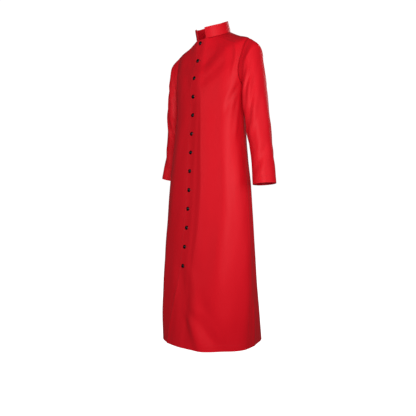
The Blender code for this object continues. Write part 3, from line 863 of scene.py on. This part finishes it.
def sleeve(side, arm_number):
    """A sleeve's grid. The cap is a cubic from each point of the armhole, leaving it outward and turning
    down into the arm. The arm is a stack of ovals about a bent line. Column 0 and the last one meet at the
    seam on the inner side. The head stands out a little below its seam, with small ripples where it is
    eased in. Creases differ a little from one arm to the other."""
    station = armhole_rows()
    front = body(front_side(side)(station), station)
    behind = body(side * np.radians(90 + ARMHOLE_BACK_DEG * armhole_bite(station)), station)
    ring = np.concatenate([front, behind[-2:0:-1]])
    rise = armhole_rise(np.concatenate([station, station[-2:0:-1]]))
    facing = np.concatenate([-armhole_bite(station), armhole_bite(station[-2:0:-1])])
    outward, downward = (low + (high - low) * rise for low, high in zip(LEAVE_UNDERARM, LEAVE_SHOULDER))
    leave = unit(np.stack([side * outward, LEAVE_FACING * facing, -downward], axis=-1))
    ring = ring + unit(ring.mean(axis=0) - ring) * SEAM_GAP
    clock = 2 * np.pi * np.arange(len(ring)) / len(ring)
    arm = np.array(ARMS)
    length = arm[0, 0] - arm[-1, 0]
    fall = -arm[0, 0] + length * places(length, ARM_PITCH)
    out, behind_by, across, deep, tip = (smooth(-arm[:, 0], arm[:, k], fall) for k in range(1, 6))
    centre = np.stack([side * out, behind_by, -fall], axis=-1)
    along = unit(np.gradient(centre, fall, axis=0))
    sideways = unit(np.array([side, 0, 0]) - along * along[:, :1] * side)
    forward = np.cross(along, sideways) * side
    arms = (
        centre[:, None]
        - sideways[:, None] * (across[:, None] * np.cos(clock))[..., None]
        + forward[:, None] * (deep[:, None] * np.sin(clock))[..., None]
        - np.array([0, 0, 1]) * (tip[:, None] * np.cos(clock))[..., None]
    )
    arms += unit(arms - centre[:, None]) * fold_out(SLEEVE_FOLDS, clock, arms[..., 2])[..., None]
    gap = np.linalg.norm(arms[0] - ring, axis=1)[:, None]
    follow = unit(arms[ARM_FOLLOW_ROW] - arms[0])
    u = places(CAP_RUN, CAP_PITCH)[:-1, None, None]
    cap = hermite(ring, arms[0], leave * gap * CAP_FULLNESS, follow * gap * ARM_FOLLOW, u)
    plain = np.concatenate([cap, arms])
    round_it = np.roll(plain, -1, 1) - np.roll(plain, 1, 1)
    down_it = np.gradient(plain, axis=0)
    normal = unit(np.cross(down_it, round_it)) * side
    plain, normal = (np.concatenate([g, g[:, :1]], axis=1) for g in (plain, normal))
    clock, rise = np.append(clock, 2 * np.pi), np.append(rise, rise[0])
    down, across_run = runs(plain, 0), runs(plain, 1)
    up = down[-1:] - down
    seamed = np.minimum(np.minimum(across_run, across_run[:, -1:] - across_run), down)
    height = plain[..., 2]
    fade_in = ease(0.0, CAP_CALM, down)
    crease_clock = clock + CREASE_SHIFT * arm_number
    round_arm, seed = clock * SLEEVE_RADIUS * side, SLEEVE_SEED + arm_number
    out = fade_in * crease_out(SLEEVE_CREASES, crease_clock, height, SLEEVE_CREASE_RADIUS)
    out += SLEEVE_WAVER * fade_in * waver(round_arm, height, SLEEVE_WAVER_LENGTHS, seed)
    fullness = HEAD_FULLNESS * bell(down - HEAD_DOWN, HEAD_WIDTH)
    ripple = HEAD_RIPPLE * np.sin(clock * HEAD_RIPPLES) * bell(down - RIPPLE_DOWN, RIPPLE_DOWN)
    out += ease(0.15, 0.75, rise) * (fullness + ripple)
    out -= SEAM_DIP * bell(seamed, SEAM_DIP_WIDTH)
    out -= HEM_GROOVE * bell(up - HEM, GROOVE_WIDTH)
    wall = PANEL_WALL + (TURNED_WALL - PANEL_WALL) * ease(HEM + HEM_STEP, HEM - HEM_STEP, up)
    outer = plain + normal * out[..., None]
    for border, inward in ((np.s_[:, 0], np.s_[:, 1]), (np.s_[:, -1], np.s_[:, -2])):
        outer[border] = outer[border] + unit(outer[inward] - outer[border]) * SEAM_GAP / 2
    cut = np.stack([across_run, up], axis=-1)
    # The last two are the masks of the painted shade along the seam and of the painted highlight along the
    # cuff's folded edge
    grid = (outer, normal, wall, cut, bell(seamed, SEAM_SHADE_WIDTH), bell(up, EDGE_HIGHLIGHT_WIDTH))
    return tuple(g[::-1, ::side] for g in grid)


for number, (side, name) in enumerate(((1, "left"), (-1, "right"))):
    grid = sleeve(side, number)
    made = shell("cassock_sleeve_" + name, *grid)
    cuff_stitches = stitches("cuff_stitches_" + name, [hem_line(grid)], THREAD)
    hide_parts("sleeve_" + name)

# Collar
# A straight stand of two layers with a stiff interfacing between them, bagged out, pressed and stitched
# round its edge. It stops short of the centre front on both sides, which leaves a square gap at the throat.
COLLAR_WALL = 0.0025
COLLAR_HEIGHT = 0.043
COLLAR_FORWARD = 0.009
COLLAR_TAPER = 0.005
COLLAR_CURVE = 1.3
COLLAR_RUN = 0.41
COLLAR_PITCH = (0.0032, 0.0026)
COLLAR_WAVER = 0.0005
COLLAR_WAVER_LENGTHS = (0.12, 0.07, 0.045)
COLLAR_SEED = 31
COLLAR_DIP = 0.0007
COLLAR_DIP_WIDTH = 0.0018
COLLAR_STITCH = 0.004
COLLAR_GROOVE = 0.00035
COLLAR_GROOVE_WIDTH = 0.0012
COLLAR_THINS = 0.0006
COLLAR_THINS_OVER = 0.0015
COLLAR_HIGHLIGHT_WIDTH = 0.0014
THROAT_HALF_GAP = 0.025


def collar():
    """The stand's grid: the neckline carried up by its height, forward, and inward toward the back. It
    wavers a little, dips at its foot's seam, and has a groove under its stitches. Also returns each point's
    distance from the top."""
    start = np.arctan(THROAT_HALF_GAP / column("half_width", NECK))
    angle = start + (2 * np.pi - 2 * start) * places(COLLAR_RUN, COLLAR_PITCH[0])
    foot = body(angle, np.full_like(angle, NECK))
    level = (foot - np.array([0, SECTIONS[-1].side, 0])) * [1, 1, 0]
    rise = places(COLLAR_HEIGHT, COLLAR_PITCH[1])[:, None, None]
    behind = (1 - np.cos(angle))[:, None] / 2
    lean = np.array([0, -COLLAR_FORWARD, 0]) - unit(level) * COLLAR_TAPER * behind
    plain = foot + np.array([0, 0, 1]) * (SEAM_GAP + rise * COLLAR_HEIGHT) + lean * rise**COLLAR_CURVE
    normal = unit(np.cross(np.gradient(plain, axis=1), np.gradient(plain, axis=0)))
    run, up = runs(plain, 1), runs(plain, 0)
    from_top = up[-1:] - up
    from_end = np.minimum(run, run[:, -1:] - run)
    folded = np.minimum(from_top, from_end)
    out = COLLAR_WAVER * waver(run, up * 2, COLLAR_WAVER_LENGTHS, COLLAR_SEED)
    out -= COLLAR_GROOVE * bell(folded - COLLAR_STITCH, COLLAR_GROOVE_WIDTH)
    out -= COLLAR_DIP * bell(up, COLLAR_DIP_WIDTH)
    wall = COLLAR_WALL + 0 * up - COLLAR_THINS * bell(folded, COLLAR_THINS_OVER)
    outer = plain + normal * out[..., None]
    cut = np.stack([run, up], axis=-1)
    # Masks of the painted shade along the foot's seam and of the painted highlight along the folded edges
    seam, edge = bell(up, SEAM_SHADE_WIDTH), bell(folded, COLLAR_HIGHLIGHT_WIDTH)
    return (outer, normal, wall, cut, seam, edge), from_top


collar_grid, collar_down = collar()
stand = shell("cassock_collar", *collar_grid)
turned = tuple(g.swapaxes(0, 1) for g in collar_grid[:2])
top_line = line_at(*turned, -collar_down.T, -COLLAR_STITCH)
collar_stitches = stitches("collar_stitches", [top_line], THREAD)
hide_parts("collar")

# Buttons and buttonholes
# Small domed buttons of polished black plastic on a shank, evenly spaced down the overlap. Each comes
# through a hole that is cut across the overlap and bound with the cloth's own colour of thread.
BUTTON_PITCH = 0.0749
BUTTON_TOP_DROP = 0.0165
BUTTON_RADIUS = 0.0082
BUTTON_HEIGHT = 0.0050
BUTTON_SIDES = 40
DOME_ROWS = 12
DOME_FROM = 0.35
DOME_RADIUS = 0.93
BUTTON_HUB = 0.00001
# The outline of the back, the rim and the groove, as shares of the radius and the height
BUTTON_FOOT = (
    (BUTTON_HUB, 0.0), (0.80, 0.0), (0.93, 0.05), (0.99, 0.15), (1.0, 0.25), (0.985, 0.33), (0.95, 0.355),
)
BUTTON_BLACK = (0.0022, 0.0020, 0.0024)
BUTTON_WORN = (0.006, 0.005, 0.006)
BUTTON_POLISH = {"Specular IOR Level": 0.12, "Coat Weight": 0.06, "Coat Roughness": 0.05}
BUTTON_ROUGHNESS = 0.08
BUTTON_WEAR = 0.12
BUTTON_WEAR_SCALE = 420.0
OVERLAP_ROWS = 1500
HOLE_FROM = -0.004
HOLE_TO = 0.0175
HOLE_HALF_HEIGHT = 0.0011
HOLE_SQUARENESS = 0.6
HOLE_POINTS = 60
HOLE_LIFT = 0.0001
HOLE_TINT = (0.52, 0.007, 0.014)
HOLE_THREAD = (0.0019, 0.00030, 0.00022)
HOLE_PITCH = 0.0008


def button_finish():
    """Black plastic with a high polish, and a trace of wear that dulls it."""
    made, wire = finish("button_black", BUTTON_POLISH)
    place = wire.node("TexCoord", {}, {}, "Object")
    worn = place.noise(BUTTON_WEAR_SCALE, 4.0)
    feed(made, Base_Color=wire.mix(worn, (*BUTTON_BLACK, 1), (*BUTTON_WORN, 1)))
    feed(made, Roughness=BUTTON_ROUGHNESS + worn * BUTTON_WEAR)
    return made


def button(name, place, facing, material):
    """A turned shape: the outline goes out along the flat back, round the rim, over a shallow groove and up
    the dome to its crown, and is carried round the button's axis."""
    turn = np.linspace(np.pi / 2, 0, DOME_ROWS)
    rim = BUTTON_HEIGHT * DOME_FROM
    dome_radius = BUTTON_RADIUS * DOME_RADIUS
    dome_height = rim + (BUTTON_HEIGHT - rim) * np.sin(turn)
    dome = np.stack([dome_radius * np.cos(turn), dome_height], axis=-1)[::-1]
    outline = np.concatenate([np.array(BUTTON_FOOT) * [BUTTON_RADIUS, BUTTON_HEIGHT], dome[1:]])
    outline[-1, 0] = BUTTON_HUB
    round_it = np.linspace(0, 2 * np.pi, BUTTON_SIDES + 1)[:-1, None]
    radius, height = outline.T
    x, y = radius * np.cos(round_it), radius * np.sin(round_it)
    local = np.stack([x, y, height + 0 * round_it], axis=-1)
    up = unit(np.cross(facing, [1, 0, 0]))
    basis = np.stack([np.cross(up, facing), up, facing])
    points = place + local @ basis
    count = len(outline)
    row, col = np.divmod(grid_faces(BUTTON_SIDES + 1, count), count)
    quads = (row % BUTTON_SIDES) * count + col
    made = mesh_object(name, points.reshape(-1, 3), quads, material)
    made.data.validate()
    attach(made, "root")
    return made


def overlap_point(distance, run_down):
    """The place and the normal on the overlap, at this distance past the centre line and this far down from
    the neckline along the cloth."""
    station = np.linspace(NECK, 0, OVERLAP_ROWS)
    line = body(0 * station, station, np.full_like(station, LAP_LIFT))
    run = runs(line, 0)
    at = np.interp(run_down, run, station)
    angle = np.arctan(distance / column("half_width", at))
    height = body(angle, at)[..., 2]
    lift = lap_lift(distance) + crease_out(BODY_CREASES, angle, height, CREASE_RADIUS)
    return body(angle, at, lift), body_normal(angle, at)


black = button_finish()
hole_thread = thread_finish("buttonhole_thread", HOLE_TINT)
hole_lines = []
button_nodes = sorted(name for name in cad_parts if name.startswith("button"))
for k, node in enumerate(button_nodes):
    down = BUTTON_TOP_DROP + k * BUTTON_PITCH
    place, facing = overlap_point(np.array([0.0]), np.array([down]))
    made = button("cassock_" + node, place[0] + facing[0] * SEAM_GAP, facing[0], black)
    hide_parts(node)
    turn = np.linspace(0, 2 * np.pi, HOLE_POINTS)
    middle, half = (HOLE_FROM + HOLE_TO) / 2, (HOLE_TO - HOLE_FROM) / 2
    squash = np.sign(np.cos(turn)) * np.abs(np.cos(turn)) ** HOLE_SQUARENESS
    place, facing = overlap_point(middle + half * squash, down + HOLE_HALF_HEIGHT * np.sin(turn))
    hole_lines.append((place + facing * HOLE_LIFT, facing))
stitches("buttonholes", hole_lines, hole_thread, HOLE_THREAD, HOLE_PITCH, across=True)
